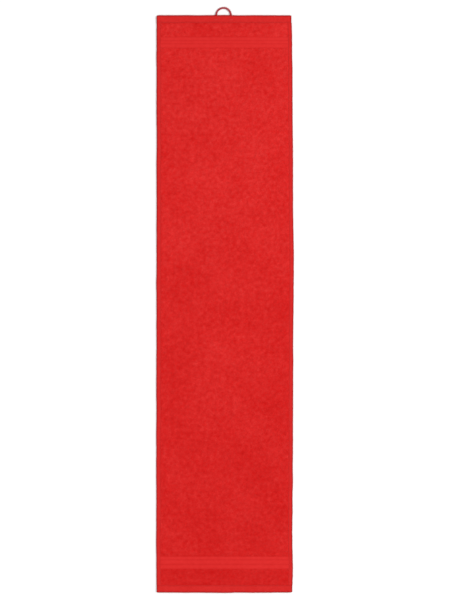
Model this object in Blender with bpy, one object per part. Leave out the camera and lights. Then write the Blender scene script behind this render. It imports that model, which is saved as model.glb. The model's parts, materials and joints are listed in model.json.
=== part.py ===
"""A terry golf towel laid flat, face up, with a cord hanging loop on its top hem.

The loop end points along +Y, the cloth's width runs along X and +Z is up. The origin is
the middle of the whole towel's outline, on the surface that the towel lies on. The cloth
is divided at three fold lines into four panels that roll up forwards, and each panel is
divided again where the cloth changes: pile, flat woven border and sewn hem.
"""

import math

import bmesh
import bpy
from mathutils import Vector

# Cloth, in metres
CLOTH_LENGTH = 1.296
CLOTH_WIDTH = 0.306
TERRY_THICKNESS = 0.0046
TERRY_EDGE_ROUND = 0.0011

# Hems: the cloth's edge turned over twice and sewn down
SIDE_HEM_WIDTH = 0.0095
SIDE_HEM_THICKNESS = 0.0034
END_HEM_WIDTH = 0.0162
END_HEM_THICKNESS = 0.0038

# Flat woven borders, each with raised ribs that run across the cloth, and the pile
# strips between them and the end hems
BORDER_THICKNESS = 0.0018
RIB_COUNT = 3
RIB_HEIGHT = 0.0005
TOP_STRIP_LENGTH = 0.0312
TOP_BORDER_LENGTH = 0.0248
BOTTOM_STRIP_LENGTH = 0.0360
BOTTOM_BORDER_LENGTH = 0.0280

# Seams: a needle thread on the face and a bobbin thread on the back of every hem
THREAD_WIDTH = 0.0005
THREAD_HEIGHT = 0.00035
SEAM_INSET = 0.0015
GROOVE_DEPTH = 0.0005

# Hanging loop, a twisted cord sewn into the top hem
LOOP_OFFSET_X = -0.0028
LOOP_RADIUS = 0.0167
LOOP_CENTRE_OUT = 0.0007
LOOP_CORD_DIAMETER = 0.0042
LOOP_ARC_POINTS = 22
LOOP_TIP_POINTS = 4
LOOP_END_WIDTH = 0.0050
LOOP_END_THICKNESS = 0.0016
LOOP_END_TO_SEAM = 0.0022
BARTACK_WIDTH = 0.0080
BARTACK_LENGTH = 0.0020
BARTACK_THICKNESS = 0.0004
BARTACK_PROUD = 0.0003
BARTACK_FROM_EDGE = 0.0090

# Clearances
GAP = 0.0003
FOLD_GAP = 0.0004
LAYER_GAP = 0.0010
PANEL_STEP = 0.0075
LOOP_STEP = 0.0200

# Places that follow from those sizes
MID_PLANE = TERRY_THICKNESS / 2
LOOP_REACH = LOOP_CENTRE_OUT + LOOP_RADIUS + LOOP_CORD_DIAMETER / 2
TOP_EDGE = (CLOTH_LENGTH - LOOP_REACH) / 2
BOTTOM_EDGE = -(CLOTH_LENGTH + LOOP_REACH) / 2
FIELD_HALF_WIDTH = CLOTH_WIDTH / 2 - SIDE_HEM_WIDTH - GAP
GROOVE_WIDTH = THREAD_WIDTH + 2 * GAP
LOOP_AXIS_OUT = LOOP_CORD_DIAMETER / 2 + GAP
LOOP_END_LENGTH = END_HEM_WIDTH - SEAM_INSET - GROOVE_WIDTH / 2 - LOOP_END_TO_SEAM

# Each panel is shorter than the one it rolls on, so that it fits inside that fold
LOWER_LENGTH = (CLOTH_LENGTH - 5 * PANEL_STEP - LOOP_STEP) / 4
LOWER_MIDDLE_LENGTH = LOWER_LENGTH + PANEL_STEP
UPPER_MIDDLE_LENGTH = LOWER_MIDDLE_LENGTH + PANEL_STEP
FOLD_LOWER_Y = BOTTOM_EDGE + LOWER_LENGTH
FOLD_MIDDLE_Y = FOLD_LOWER_Y + LOWER_MIDDLE_LENGTH
FOLD_UPPER_Y = FOLD_MIDDLE_Y + UPPER_MIDDLE_LENGTH

# A fold turns about a line above the face: one, two or three layers lie inside it
FOLD_LOWER_Z = TERRY_THICKNESS + LAYER_GAP / 2
FOLD_MIDDLE_Z = FOLD_LOWER_Z + (TERRY_THICKNESS + LAYER_GAP) / 2
FOLD_UPPER_Z = FOLD_MIDDLE_Z + (TERRY_THICKNESS + LAYER_GAP) / 2


def clear_scene():
    for obj in list(bpy.data.objects):
        bpy.data.objects.remove(obj)


def material(name, colour, roughness):
    made = bpy.data.materials.new(name)
    made.use_nodes = True
    shader = made.node_tree.nodes["Principled BSDF"]
    shader.inputs["Base Color"].default_value = (*colour, 1.0)
    shader.inputs["Roughness"].default_value = roughness
    shader.inputs["Metallic"].default_value = 0.0
    return made


def axis_empty(name, place, parent=None):
    """An empty on a joint's axis. Everything that moves with the joint hangs from it."""
    empty = bpy.data.objects.new(name, None)
    bpy.context.scene.collection.objects.link(empty)
    empty["place"] = place
    hang(empty, parent, place)
    return empty


def hang(obj, parent, place):
    """Puts an object at a place in the world, under its parent empty."""
    obj.parent = parent
    obj.location = Vector(place) - (Vector(parent["place"]) if parent else Vector())


def link_mesh(name, bm, finish, parent, place):
    bmesh.ops.recalc_face_normals(bm, faces=bm.faces)
    mesh = bpy.data.meshes.new(name)
    bm.to_mesh(mesh)
    bm.free()
    mesh.materials.append(finish)
    obj = bpy.data.objects.new(name, mesh)
    bpy.context.scene.collection.objects.link(obj)
    hang(obj, parent, place)
    return obj


def block(name, size, finish, parent, centre, edge_round=0.0):
    """A rectangular solid about its own centre, with rounded edges if asked for."""
    bm = bmesh.new()
    bmesh.ops.create_cube(bm, size=1.0)
    bmesh.ops.scale(bm, vec=size, verts=bm.verts)
    obj = link_mesh(name, bm, finish, parent, centre)
    if edge_round:
        bevel = obj.modifiers.new("rounded_edges", "BEVEL")
        bevel.width = edge_round
        bevel.segments = 2
    return obj


def prism(name, outline, along, length, finish, parent, centre):
    """An outline of (across, height) points drawn out along Y or X, about its centre."""
    bm = bmesh.new()
    if along == "Y":
        points = [Vector((across, -length / 2, height)) for across, height in outline]
        draw = Vector((0, length, 0))
    else:
        points = [Vector((-length / 2, across, height)) for across, height in outline]
        draw = Vector((length, 0, 0))
    face = bm.faces.new([bm.verts.new(point) for point in points])
    drawn = bmesh.ops.extrude_face_region(bm, geom=[face])
    moved = [item for item in drawn["geom"] if isinstance(item, bmesh.types.BMVert)]
    bmesh.ops.translate(bm, vec=draw, verts=moved)
    return link_mesh(name, bm, finish, parent, centre)


def hem_outline(width, thickness, outward):
    """A hem's section: a round folded edge on its outer side and a square inner edge, with
    a groove on each face where the seam pulls the layers down. Width is centred on 0."""
    half = thickness / 2
    outer = width / 2 - half
    points = []
    for step in range(7):
        turn = math.pi / 2 - math.pi * step / 6
        points.append((outer + half * math.cos(turn), half * math.sin(turn)))
    seam = SEAM_INSET - width / 2
    groove = [
        (seam + GROOVE_WIDTH / 2, half),
        (seam + GROOVE_WIDTH / 2, half - GROOVE_DEPTH),
        (seam - GROOVE_WIDTH / 2, half - GROOVE_DEPTH),
        (seam - GROOVE_WIDTH / 2, half),
    ]
    points += [(across, -height) for across, height in groove]
    points += [(-width / 2, -half), (-width / 2, half)]
    points += reversed(groove)
    return [(outward * across, height) for across, height in points]


def border_outline(length):
    """A border's section along the cloth: a thin weave with ribs raised on both faces."""
    half = BORDER_THICKNESS / 2
    pitch = length / (RIB_COUNT + 0.5)
    face = [(-length / 2, half)]
    for rib in range(RIB_COUNT):
        middle = (rib - (RIB_COUNT - 1) / 2) * pitch
        for share, rise in ((-0.4, 0), (-0.28, 1), (0.28, 1), (0.4, 0)):
            face.append((middle + share * pitch, half + rise * RIB_HEIGHT))
    face.append((length / 2, half))
    return face + [(across, -height) for across, height in reversed(face)]


def seam_threads(name, along, length, hem_thickness, finish, parent, centre):
    """The needle thread in the groove on the face and the bobbin thread on the back."""
    rise = hem_thickness / 2 - GROOVE_DEPTH + GAP + THREAD_HEIGHT / 2
    size = (THREAD_WIDTH, length, THREAD_HEIGHT)
    if along == "X":
        size = (length, THREAD_WIDTH, THREAD_HEIGHT)
    for side, sign in (("needle", 1), ("bobbin", -1)):
        place = Vector(centre) + Vector((0, 0, sign * rise))
        block(f"{name}_{side}_thread", size, finish, parent, place)


def panel_sides(panel, low, high, parent, finishes):
    """A panel's two side hems and their threads, from low to high along the cloth."""
    length = high - low
    middle = (low + high) / 2
    for side, outward in (("left", -1), ("right", 1)):
        name = f"side_hem_{side}_{panel}"
        place = Vector((outward * (CLOTH_WIDTH - SIDE_HEM_WIDTH) / 2, middle, MID_PLANE))
        outline = hem_outline(SIDE_HEM_WIDTH, SIDE_HEM_THICKNESS, outward)
        prism(name, outline, "Y", length, finishes["hem"], parent, place)
        inner = CLOTH_WIDTH / 2 - SIDE_HEM_WIDTH + SEAM_INSET
        seam = Vector((outward * inner, middle, MID_PLANE))
        seam_threads(
            name, "Y", length, SIDE_HEM_THICKNESS, finishes["thread"], parent, seam
        )


def field(name, low, high, parent, finishes):
    """A stretch of pile between the side hems."""
    size = (2 * FIELD_HALF_WIDTH, high - low, TERRY_THICKNESS)
    centre = (0, (low + high) / 2, MID_PLANE)
    block(name, size, finishes["terry"], parent, centre, TERRY_EDGE_ROUND)


def end_trim(end, edge, inward, strip, border, parent, finishes):
    """The end hem, pile strip and border at one end of the cloth. Returns the place
    where the main pile begins."""
    hem_centre = edge + inward * END_HEM_WIDTH / 2
    outline = hem_outline(END_HEM_WIDTH, END_HEM_THICKNESS, -inward)
    place = (0, hem_centre, MID_PLANE)
    name = f"end_hem_{end}"
    hem = prism(name, outline, "X", CLOTH_WIDTH, finishes["hem"], parent, place)
    seam = (0, edge + inward * (END_HEM_WIDTH - SEAM_INSET), MID_PLANE)
    length = CLOTH_WIDTH - 2 * SEAM_INSET
    seam_threads(
        name, "X", length, END_HEM_THICKNESS, finishes["thread"], parent, seam
    )
    strip_start = edge + inward * (END_HEM_WIDTH + GAP)
    strip_end = strip_start + inward * strip
    field(f"pile_strip_{end}", *sorted((strip_start, strip_end)), parent, finishes)
    border_start = strip_end + inward * GAP
    border_end = border_start + inward * border
    prism(
        f"border_{end}",
        border_outline(border),
        "X",
        2 * FIELD_HALF_WIDTH,
        finishes["border"],
        parent,
        (0, (border_start + border_end) / 2, MID_PLANE),
    )
    return hem, border_end + inward * GAP


def cut(target, size, centre):
    """Cuts a rectangular hollow out of a piece with a hidden cutter."""
    bm = bmesh.new()
    bmesh.ops.create_cube(bm, size=1.0)
    bmesh.ops.scale(bm, vec=size, verts=bm.verts)
    finish = target.data.materials[0]
    cutter = link_mesh(f"cutter_{target.name}", bm, finish, None, centre)
    cutter.hide_render = True
    cutter.display_type = "WIRE"
    hollow = target.modifiers.new("hollow", "BOOLEAN")
    hollow.operation = "DIFFERENCE"
    hollow.solver = "EXACT"
    hollow.object = cutter


def loop_seats(hem, parent, finishes):
    """The cord's two flattened ends in their pockets in the top hem, and the bar of dense
    stitches that holds each of them."""
    for side, outward in (("left", -1), ("right", 1)):
        x = LOOP_OFFSET_X + outward * LOOP_RADIUS
        centre = (x, TOP_EDGE - LOOP_END_LENGTH / 2, MID_PLANE)
        size = (LOOP_END_WIDTH, LOOP_END_LENGTH, LOOP_END_THICKNESS)
        block(f"loop_end_{side}", size, finishes["cord"], parent, centre, GAP)
        pocket = (
            LOOP_END_WIDTH + 2 * GAP,
            2 * (LOOP_END_LENGTH + GAP),
            LOOP_END_THICKNESS + 2 * GAP,
        )
        cut(hem, pocket, (x, TOP_EDGE, MID_PLANE))

        face = MID_PLANE + END_HEM_THICKNESS / 2
        bar_y = TOP_EDGE - BARTACK_FROM_EDGE
        bar_z = face + BARTACK_PROUD - BARTACK_THICKNESS / 2
        size = (BARTACK_WIDTH, BARTACK_LENGTH, BARTACK_THICKNESS)
        name = f"bartack_{side}"
        block(name, size, finishes["thread"], parent, (x, bar_y, bar_z))
        depth = BARTACK_THICKNESS - BARTACK_PROUD + GAP
        recess = (BARTACK_WIDTH + 2 * GAP, BARTACK_LENGTH + 2 * GAP, 2 * depth)
        cut(hem, recess, (x, bar_y, face))


def hanger_loop(parent, finish):
    """The free arch of the cord. Its two ends are round and stand on the swing axis, just
    clear of the hem, so that the arch can turn without touching it."""
    radius = LOOP_CORD_DIAMETER / 2
    start = math.asin((LOOP_AXIS_OUT - LOOP_CENTRE_OUT) / LOOP_RADIUS)
    arc = []
    for step in range(LOOP_ARC_POINTS):
        turn = start + (math.pi - 2 * start) * step / (LOOP_ARC_POINTS - 1)
        height = LOOP_CENTRE_OUT - LOOP_AXIS_OUT + LOOP_RADIUS * math.sin(turn)
        arc.append((Vector((LOOP_RADIUS * math.cos(turn), height, 0)), 1.0))
    tip = []
    for step in range(LOOP_TIP_POINTS):
        turn = 0.12 + (math.pi / 2 - 0.12) * step / LOOP_TIP_POINTS
        tip.append((-radius * math.cos(turn), math.sin(turn)))
    first = [(arc[0][0] + Vector((0, out, 0)), share) for out, share in tip]
    last = [(arc[-1][0] + Vector((0, out, 0)), share) for out, share in reversed(tip)]
    route = first + arc + last

    curve = bpy.data.curves.new("hanger_loop", "CURVE")
    curve.dimensions = "3D"
    curve.bevel_depth = radius
    curve.bevel_resolution = 4
    curve.use_fill_caps = True
    spline = curve.splines.new("POLY")
    spline.points.add(len(route) - 1)
    for point, (place, share) in zip(spline.points, route):
        point.co = (*place, 1.0)
        point.radius = share
    spline.use_smooth = True
    curve.materials.append(finish)
    obj = bpy.data.objects.new("hanger_loop", curve)
    bpy.context.scene.collection.objects.link(obj)
    hang(obj, parent, parent["place"])


def main():
    clear_scene()
    finishes = {
        "terry": material("red_terry", (0.68, 0.022, 0.020), 0.95),
        "border": material("red_flat_weave", (0.72, 0.027, 0.024), 0.8),
        "hem": material("red_hem", (0.72, 0.027, 0.024), 0.85),
        "thread": material("red_thread", (0.55, 0.020, 0.020), 0.7),
        "cord": material("crimson_cord", (0.36, 0.030, 0.036), 0.75),
    }

    upper = axis_empty("upper_panel", (0, TOP_EDGE, MID_PLANE))
    fold_upper = axis_empty("fold_upper_axis", (0, FOLD_UPPER_Y, FOLD_UPPER_Z), upper)
    fold_middle = axis_empty(
        "fold_middle_axis", (0, FOLD_MIDDLE_Y, FOLD_MIDDLE_Z), fold_upper
    )
    fold_lower = axis_empty(
        "fold_lower_axis", (0, FOLD_LOWER_Y, FOLD_LOWER_Z), fold_middle
    )
    swing_place = (LOOP_OFFSET_X, TOP_EDGE + LOOP_AXIS_OUT, MID_PLANE)
    loop_swing = axis_empty("loop_swing_axis", swing_place, upper)

    half = FOLD_GAP / 2
    hem_top, pile_top = end_trim(
        "top", TOP_EDGE, -1, TOP_STRIP_LENGTH, TOP_BORDER_LENGTH, upper, finishes
    )
    _, pile_bottom = end_trim(
        "bottom",
        BOTTOM_EDGE,
        1,
        BOTTOM_STRIP_LENGTH,
        BOTTOM_BORDER_LENGTH,
        fold_lower,
        finishes,
    )
    end_hem = END_HEM_WIDTH + GAP
    panels = (
        ("upper", upper, FOLD_UPPER_Y + half, pile_top, TOP_EDGE - end_hem),
        ("upper_middle", fold_upper, FOLD_MIDDLE_Y + half, FOLD_UPPER_Y - half, None),
        ("lower_middle", fold_middle, FOLD_LOWER_Y + half, FOLD_MIDDLE_Y - half, None),
    )
    for panel, parent, low, high, sides_high in panels:
        field(f"terry_field_{panel}", low, high, parent, finishes)
        panel_sides(panel, low, sides_high or high, parent, finishes)
    field("terry_field_lower", pile_bottom, FOLD_LOWER_Y - half, fold_lower, finishes)
    panel_sides(
        "lower", BOTTOM_EDGE + end_hem, FOLD_LOWER_Y - half, fold_lower, finishes
    )

    loop_seats(hem_top, upper, finishes)
    hanger_loop(loop_swing, finishes["cord"])


main()
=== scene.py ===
"""Looks of a red terry golf towel, laid flat with its hanging loop at the +Y end.

The cloth is made in five stretches along its length, so that every join between stretches
lies in the still middle of a panel. The first and last ride on the end panels; each of the
other three lies across one fold line, rides on no panel and does not bend.
"""

import json
import math

import bpy
import numpy as np
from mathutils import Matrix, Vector


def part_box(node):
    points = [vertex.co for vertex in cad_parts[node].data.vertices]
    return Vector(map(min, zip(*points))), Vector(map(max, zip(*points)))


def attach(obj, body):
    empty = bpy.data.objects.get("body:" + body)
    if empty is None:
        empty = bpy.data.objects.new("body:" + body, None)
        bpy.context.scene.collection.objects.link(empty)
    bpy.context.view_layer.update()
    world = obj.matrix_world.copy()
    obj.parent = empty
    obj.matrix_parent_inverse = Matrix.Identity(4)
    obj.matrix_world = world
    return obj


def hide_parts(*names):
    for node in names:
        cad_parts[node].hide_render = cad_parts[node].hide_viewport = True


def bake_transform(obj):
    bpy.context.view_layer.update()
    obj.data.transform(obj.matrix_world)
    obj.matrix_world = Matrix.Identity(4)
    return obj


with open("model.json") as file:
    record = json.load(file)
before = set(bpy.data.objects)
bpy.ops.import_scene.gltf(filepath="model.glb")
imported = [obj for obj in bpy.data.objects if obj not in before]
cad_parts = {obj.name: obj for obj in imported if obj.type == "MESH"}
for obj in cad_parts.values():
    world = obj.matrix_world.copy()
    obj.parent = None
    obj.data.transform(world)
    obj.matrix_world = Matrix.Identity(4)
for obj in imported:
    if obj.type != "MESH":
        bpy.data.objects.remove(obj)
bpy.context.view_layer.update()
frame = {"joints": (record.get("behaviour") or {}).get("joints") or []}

MM = 0.001

# --- sizes from the frame

JOINTS = {joint["name"]: joint for joint in frame["joints"]}
TOP_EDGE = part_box("end_hem_top")[1].y
BOTTOM_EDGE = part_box("end_hem_bottom")[0].y
HALF_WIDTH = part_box("end_hem_top")[1].x
TERRY_LOW, TERRY_HIGH = (corner.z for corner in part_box("terry_field_upper"))
MID_PLANE = (TERRY_LOW + TERRY_HIGH) / 2
SIDE_HEM = HALF_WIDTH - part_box("side_hem_right_upper")[0].x
END_HEM = TOP_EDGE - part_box("end_hem_top")[0].y
SEAM_INSET = SIDE_HEM - (HALF_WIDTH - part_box("side_hem_right_upper_needle_thread")[0].x)
FOLDS = ("fold_upper", "fold_middle", "fold_lower")
PANELS = ("upper", "upper_middle", "lower_middle", "lower")
SWING = Vector(JOINTS["loop_swing"]["pos_m"])

# --- sizes of the looks

# How far the cloth is tucked under the side hems, and how far the pile reaches past its CAD
# solids
TUCK = 0.4 * MM
JOIN_GAP = 0.3 * MM

# A woven border: half its thickness in the grooves, its crowned ribs, how it cockles and
# the painted shade on its cockles, and the shares of its width at which the ribs part
BORDER_HALF = 0.95 * MM
RIB_RISE = 0.5 * MM
RIB_FULLNESS = 3.0
COCKLE_RISE = 0.06 * MM
COCKLE_SHADE = 0.15
TOP_GROOVES = (0.40, 0.66)
BOTTOM_GROOVES = (0.36, 0.74)

# The pile is thin beside a hem and rises over the shoulder to its full height
PILE_PITCH = 1.4 * MM
COLUMNS_UNDER_HEMS = 12
SHOULDER = 3.2 * MM
THIN_PILE = 0.9 * MM
ROOM_FOR_LOOPS = 0.55 * MM
SHOULDER_START = 0.15
THIN_RELIEF = 0.4

# Painted shade on the pile where it lies low and where it is thin, and how much darker the
# pile gets towards the bottom end and in the strip below the bottom border
MEAN_PAINTED_SHADE = 0.34
HOLLOW_DEPTH = 0.75 * MM
LOOP_SHADE = 0.35
THIN_SHADE = 0.3
BOTTOM_DARKENING = 0.48
BOTTOM_DARKENING_LENGTH = 0.9
STRIP_DARKENING = 0.35
STRIP_DARKENING_FROM = -0.56
STRIP_DARKENING_LENGTH = 0.03

# How much of the cloth's swell the back and the hems follow
BACK_SWELL_SHARE = 0.5
HEM_SWELL_SHARE = 0.6

# Both kinds of hem: the seam's groove, the painted shade in it as (amount, reach), and how
# far in from the edge a painted shadow reaches
HEM_PITCH = 0.93 * MM
GROOVE = 0.38 * MM
SIDE_SEAM_SHADE = (0.4, 0.6 * MM)
END_SEAM_SHADE = (0.5, 0.7 * MM)
EDGE_SHADE = 3.8 * MM

# A side hem: thinner at its inner lip and crowned, drawn in at the seam
SIDE_HEM_HALF = 1.7 * MM
HEM_LIP = 0.72
HEM_LIP_WIDTH = 0.8 * MM
HEM_CROWN = 0.10
GROOVE_WIDTH = 0.42 * MM
SIDE_PUCKER = 0.11 * MM
SIDE_PUCKER_WIDTH = 1.3 * MM
SEAM_THINNING = 0.93

# An end hem: its layers' thickness, how far the outer ones lie from the middle, where the
# turned-in edge folds, how far its edge bulges halfway and reaches past the CAD edge, how its
# corners are rounded, and how the seam draws it in
END_LAYER = 1.0 * MM
END_FOLD = 1.35 * MM
INNER_FOLD_AT = 1.1 * MM
END_EDGE_SAG = {"top_end_hem": 0.3 * MM, "bottom_end_hem": 0.7 * MM}
END_EDGE_REACH = {"top_end_hem": 0.65 * MM, "bottom_end_hem": 0.0}
END_CORNER_INSET = 4 * MM
END_CORNER_CUT = 1.2 * MM
END_CORNER_WIDTH = 3 * MM
END_PUCKER = 0.12 * MM
END_PUCKER_WIDTH = 0.9 * MM

# Sewing thread
STITCH_PITCH = 2.8 * MM
STITCH_LENGTH = 2.3 * MM
THREAD_RADIUS = 0.26 * MM
THREAD_SIDES = 6
STITCH_LIFT = 0.16 * MM
STITCH_STRAY = 0.06
END_SEAM_STOP = 1.5 * MM
BARTACK_TURNS = 27
BARTACK_MARGIN = 0.4 * MM
BARTACK_LIFT = 0.06 * MM
BARTACK_SLANT = 0.2
BARTACK_STRAY = 0.05
BARTACK_SHIFT = 0.12

# The cord: a full turn of its strands is one lay, each strand's middle lies off the cord's
# own, and it is pressed flat inside the hem
CORD_DIAMETER = 4.2 * MM
CORD_LAY = 12.9 * MM
STRAND_RADIUS = 1.30 * MM
STRAND_OFFSET = 1.06 * MM
STRAND_LUMPS = 0.03
CORD_INSIDE = 10.0 * MM
CORD_PRESSED = 0.65
PRESSED_UP_TO = -0.3 * MM
CORD_CLEARANCE = 0.1 * MM
CORD_BOW = 0.25 * MM
CORD_BOW_TURNS = 260
CORD_SIDES = 12
CORD_STEP = 0.42 * MM

# The OFBake maps leave this much free along their borders
MAP_MARGIN = 0.01

# Kinds of unevenness, as (height, width of one bump, seed). Those with seeds 0 to 2 are used
# in several places, and their seeds are added to the place's own
LONG_WANDER = (0.35 * MM, 34 * MM, 0)
SHORT_WANDER = (0.15 * MM, 9 * MM, 1)
SWELL = (0.22 * MM, 85 * MM, 31)
SMALL_SWELL = (0.08 * MM, 22 * MM, 33)
# Patches of painted shade on the pile, standing in for gentle swells in the cloth
SHADE_PATCHES = (0.12, 130 * MM, 35)
SMALL_SHADE_PATCHES = (0.06, 45 * MM, 37)
WIDE_CLUMPS = (0.20 * MM, 7.5 * MM, 0)
SMALL_CLUMPS = (0.16 * MM, 3.6 * MM, 1)
LOOPS = (0.36 * MM, 1.45 * MM, 2)
COCKLE = (1.0, 5 * MM, 61)
HEM_SWELL = (0.09, 11 * MM, 71)
HEM_RIPPLE = (0.10 * MM, 4.5 * MM, 73)
HEM_MOTTLE = (0.12, 3 * MM, 75)
END_LONG_WANDER = (0.25 * MM, 30 * MM, 81)
END_SHORT_WANDER = (0.12 * MM, 8 * MM, 83)
END_RIPPLE = (0.10 * MM, 5 * MM, 85)
END_MOTTLE = (0.12, 3 * MM, 87)

# Seeds
LEFT_EDGE_SEED, RIGHT_EDGE_SEED = 21, 23
FACE_PILE_SEED, BACK_PILE_SEED = 41, 51
SIDE_SEAM_SEED, SIDE_SEAM_SEED_STEP = 100, 10
END_SEAM_SEED = 200
BARTACK_SEEDS = {"left": 301, "right": 303}

# Where the two long edges run, as (along, across): sewing pulls the cloth in towards its
# ends, more on the right than on the left
RIGHT_EDGE = (
    (-0.658, 0.1506),
    (-0.630, 0.1534),
    (-0.540, 0.1515),
    (-0.300, 0.1536),
    (-0.060, 0.1536),
    (0.067, 0.1556),
    (0.200, 0.1535),
    (0.400, 0.1526),
    (0.590, 0.1514),
    (0.638, 0.1492),
)
LEFT_EDGE = (
    (-0.658, -0.1534),
    (-0.640, -0.1541),
    (-0.200, -0.1539),
    (0.200, -0.1535),
    (0.638, -0.1534),
)
EDGE_STEPS = np.linspace(-0.66, 0.64, 131)
EDGE_EASING = 7

# Unevenness is read from a square table that repeats, off its corner
TABLE_SIDE = 512
READ_FROM = (700.0, 900.0)


def smooth_step(t):
    """Eases from 0 to 1 as t does, and stays there on both sides."""
    t = np.clip(t, 0.0, 1.0)
    return t * t * (3 - 2 * t)


def uneven(x, y, cell, seed):
    """Smooth unevenness from -1 to 1 at each place, with bumps about one cell across."""
    table = np.random.RandomState(seed).uniform(-1, 1, (TABLE_SIDE, TABLE_SIDE))
    across, along = np.asarray(x) / cell + READ_FROM[0], np.asarray(y) / cell + READ_FROM[1]
    column, row = np.floor(across).astype(int), np.floor(along).astype(int)
    u, v = smooth_step(across - column), smooth_step(along - row)

    def corner(right, up):
        return table[(row + up) % TABLE_SIDE, (column + right) % TABLE_SIDE]

    low = corner(0, 0) * (1 - u) + corner(1, 0) * u
    high = corner(0, 1) * (1 - u) + corner(1, 1) * u
    return low * (1 - v) + high * v


def bumps(kind, x, y, seed=0):
    """Unevenness of one kind, whose seed is added to the given one."""
    height, width, own_seed = kind
    return height * uneven(x, y, width, own_seed + seed)


def edge_at(y, points, seed):
    """How far across a long edge lies at each place along the towel."""
    along = [point[0] for point in points]
    across = [point[1] for point in points]
    rough = np.pad(np.interp(EDGE_STEPS, along, across), EDGE_EASING // 2, mode="edge")
    eased = np.convolve(rough, np.ones(EDGE_EASING) / EDGE_EASING, mode="valid")
    wander = bumps(LONG_WANDER, 0, y, seed) + bumps(SHORT_WANDER, 0, y, seed)
    return np.interp(y, EDGE_STEPS, eased) + wander


def left_edge(y):
    return edge_at(y, LEFT_EDGE, LEFT_EDGE_SEED)


def right_edge(y):
    return edge_at(y, RIGHT_EDGE, RIGHT_EDGE_SEED)


def lie(x, y):
    """How the whole cloth swells where it doesn't lie quite flat. It only swells upwards."""
    kinds = (SWELL, SMALL_SWELL)
    return sum(height * (1 + uneven(x, y, width, seed)) for height, width, seed in kinds)


def near(depth, place, width):
    """1 at a place and fading to nothing within about two widths of it."""
    return np.exp(-(((depth - place) / width) ** 2))


# --- mesh making


def object_from(name, points, faces, material):
    """A smooth-shaded object at the origin, made of points and faces."""
    mesh = bpy.data.meshes.new(name)
    mesh.from_pydata(points.tolist(), [], faces)
    mesh.materials.append(material)
    mesh.shade_smooth()
    made = bpy.data.objects.new(name, mesh)
    bpy.context.scene.collection.objects.link(made)
    return made


def write_map(obj, name, places):
    """Stores a UV map, given as one place for each face corner."""
    layer = obj.data.uv_layers.new(name=name)
    layer.uv.foreach_set("vector", places.astype(np.float32).ravel())


def corner_points(obj):
    """The point that each face corner stands on."""
    index = np.empty(len(obj.data.loops), np.int64)
    obj.data.loops.foreach_get("vertex_index", index)
    return index


def on_map(share):
    """Where a share of the way, from 0 to 1, lies on a map with a margin."""
    return MAP_MARGIN + (1 - 2 * MAP_MARGIN) * share


def mark_hollows(obj, depths):
    """Stores the painted shade at each point, from 0 to 1, which the finishes multiply into their
    colour: shade in hollows, grooves and seams, a painted shadow along the hem edges, and on
    the hems a random mottle as well.
    """
    layer = obj.data.attributes.new("hollow", "FLOAT", "POINT")
    layer.data.foreach_set("value", np.clip(depths, 0, 1).astype(np.float32).ravel())


def slab(name, low, high, top_of, bottom_of, material, inset):
    """A closed sheet between the side hems, from low to high along the towel. top_of and
    bottom_of give the height and the painted shade of its face and its back at each place."""
    columns = int(round(2 * HALF_WIDTH / PILE_PITCH)) - COLUMNS_UNDER_HEMS
    rows = max(8, int(round((high - low) / PILE_PITCH)))
    bpy.ops.object.select_all(action="DESELECT")
    bpy.ops.mesh.primitive_grid_add(x_subdivisions=columns, y_subdivisions=rows, size=1)
    obj = bpy.context.object
    obj.name = obj.data.name = name
    count = len(obj.data.vertices)
    co = np.empty(count * 3, np.float32)
    obj.data.vertices.foreach_get("co", co)
    # The grid is 1 wide about its middle, so this is each point's share of the way
    share = co.reshape(-1, 3).astype(float)[:, :2] + 0.5

    # The back is a copy of the face, point for point, and both are then put in place
    solidify = obj.modifiers.new("back", "SOLIDIFY")
    solidify.thickness = 0.1
    solidify.offset = -1
    bpy.ops.object.modifier_apply(modifier=solidify.name)
    obj.data.materials.append(material)
    obj.data.shade_smooth()

    y = low + share[:, 1] * (high - low)
    left, right = left_edge(y) + inset, right_edge(y) - inset
    x = left + share[:, 0] * (right - left)
    face_height, face_hollow = top_of(x, y, left, right)
    back_height, back_hollow = bottom_of(x, y, left, right)
    height = np.concatenate([face_height, back_height])
    points = np.column_stack([np.tile(x, 2), np.tile(y, 2), height])
    obj.data.vertices.foreach_set("co", points.astype(np.float32).ravel())
    obj.data.update()
    mark_hollows(obj, np.concatenate([face_hollow, back_hollow]))

    # The rim keeps a sharp edge, so that two stretches meet without a shaded line
    half_cell = np.array([0.5 / columns, 0.5 / rows])
    on_rim = np.tile(((share < half_cell) | (share > 1 - half_cell)).any(axis=1), 2)
    ends = np.empty(len(obj.data.edges) * 2, np.int64)
    obj.data.edges.foreach_get("vertices", ends)
    sharp = on_rim[ends.reshape(-1, 2)].all(axis=1)
    attribute = obj.data.attributes.new("sharp_edge", "BOOLEAN", "EDGE")
    attribute.data.foreach_set("value", sharp)

    corners = corner_points(obj)
    is_back = corners >= count
    share = np.tile(share, (2, 1))[corners]
    write_map(obj, "cloth", points[corners, :2])
    # The face lies on the left of the map, the back on the right and the rim between them
    side_width, back_from, rim_from, rim_width = 0.47, 0.51, 0.494, 0.012
    across = MAP_MARGIN + side_width * share[:, 0] + back_from * is_back
    sheet_map = np.column_stack([across, on_map(share[:, 1])])
    sides = is_back.reshape(-1, 4)
    rim = np.repeat(sides.any(axis=1) & ~sides.all(axis=1), 4)
    sheet_map[rim, 0] = rim_from + rim_width * is_back[rim]
    write_map(obj, "OFBake", sheet_map)
    return obj


def tube_faces(stations, around):
    """The faces between rings of points, with the first and the last ring filled."""
    i, j = np.meshgrid(np.arange(stations - 1), np.arange(around), indexing="ij")
    here = i * around + j
    beside = i * around + (j + 1) % around
    faces = np.stack([here, beside, beside + around, here + around], -1).reshape(-1, 4).tolist()
    faces.append(list(range(around))[::-1])
    faces.append([(stations - 1) * around + k for k in range(around)])
    return faces


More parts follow.
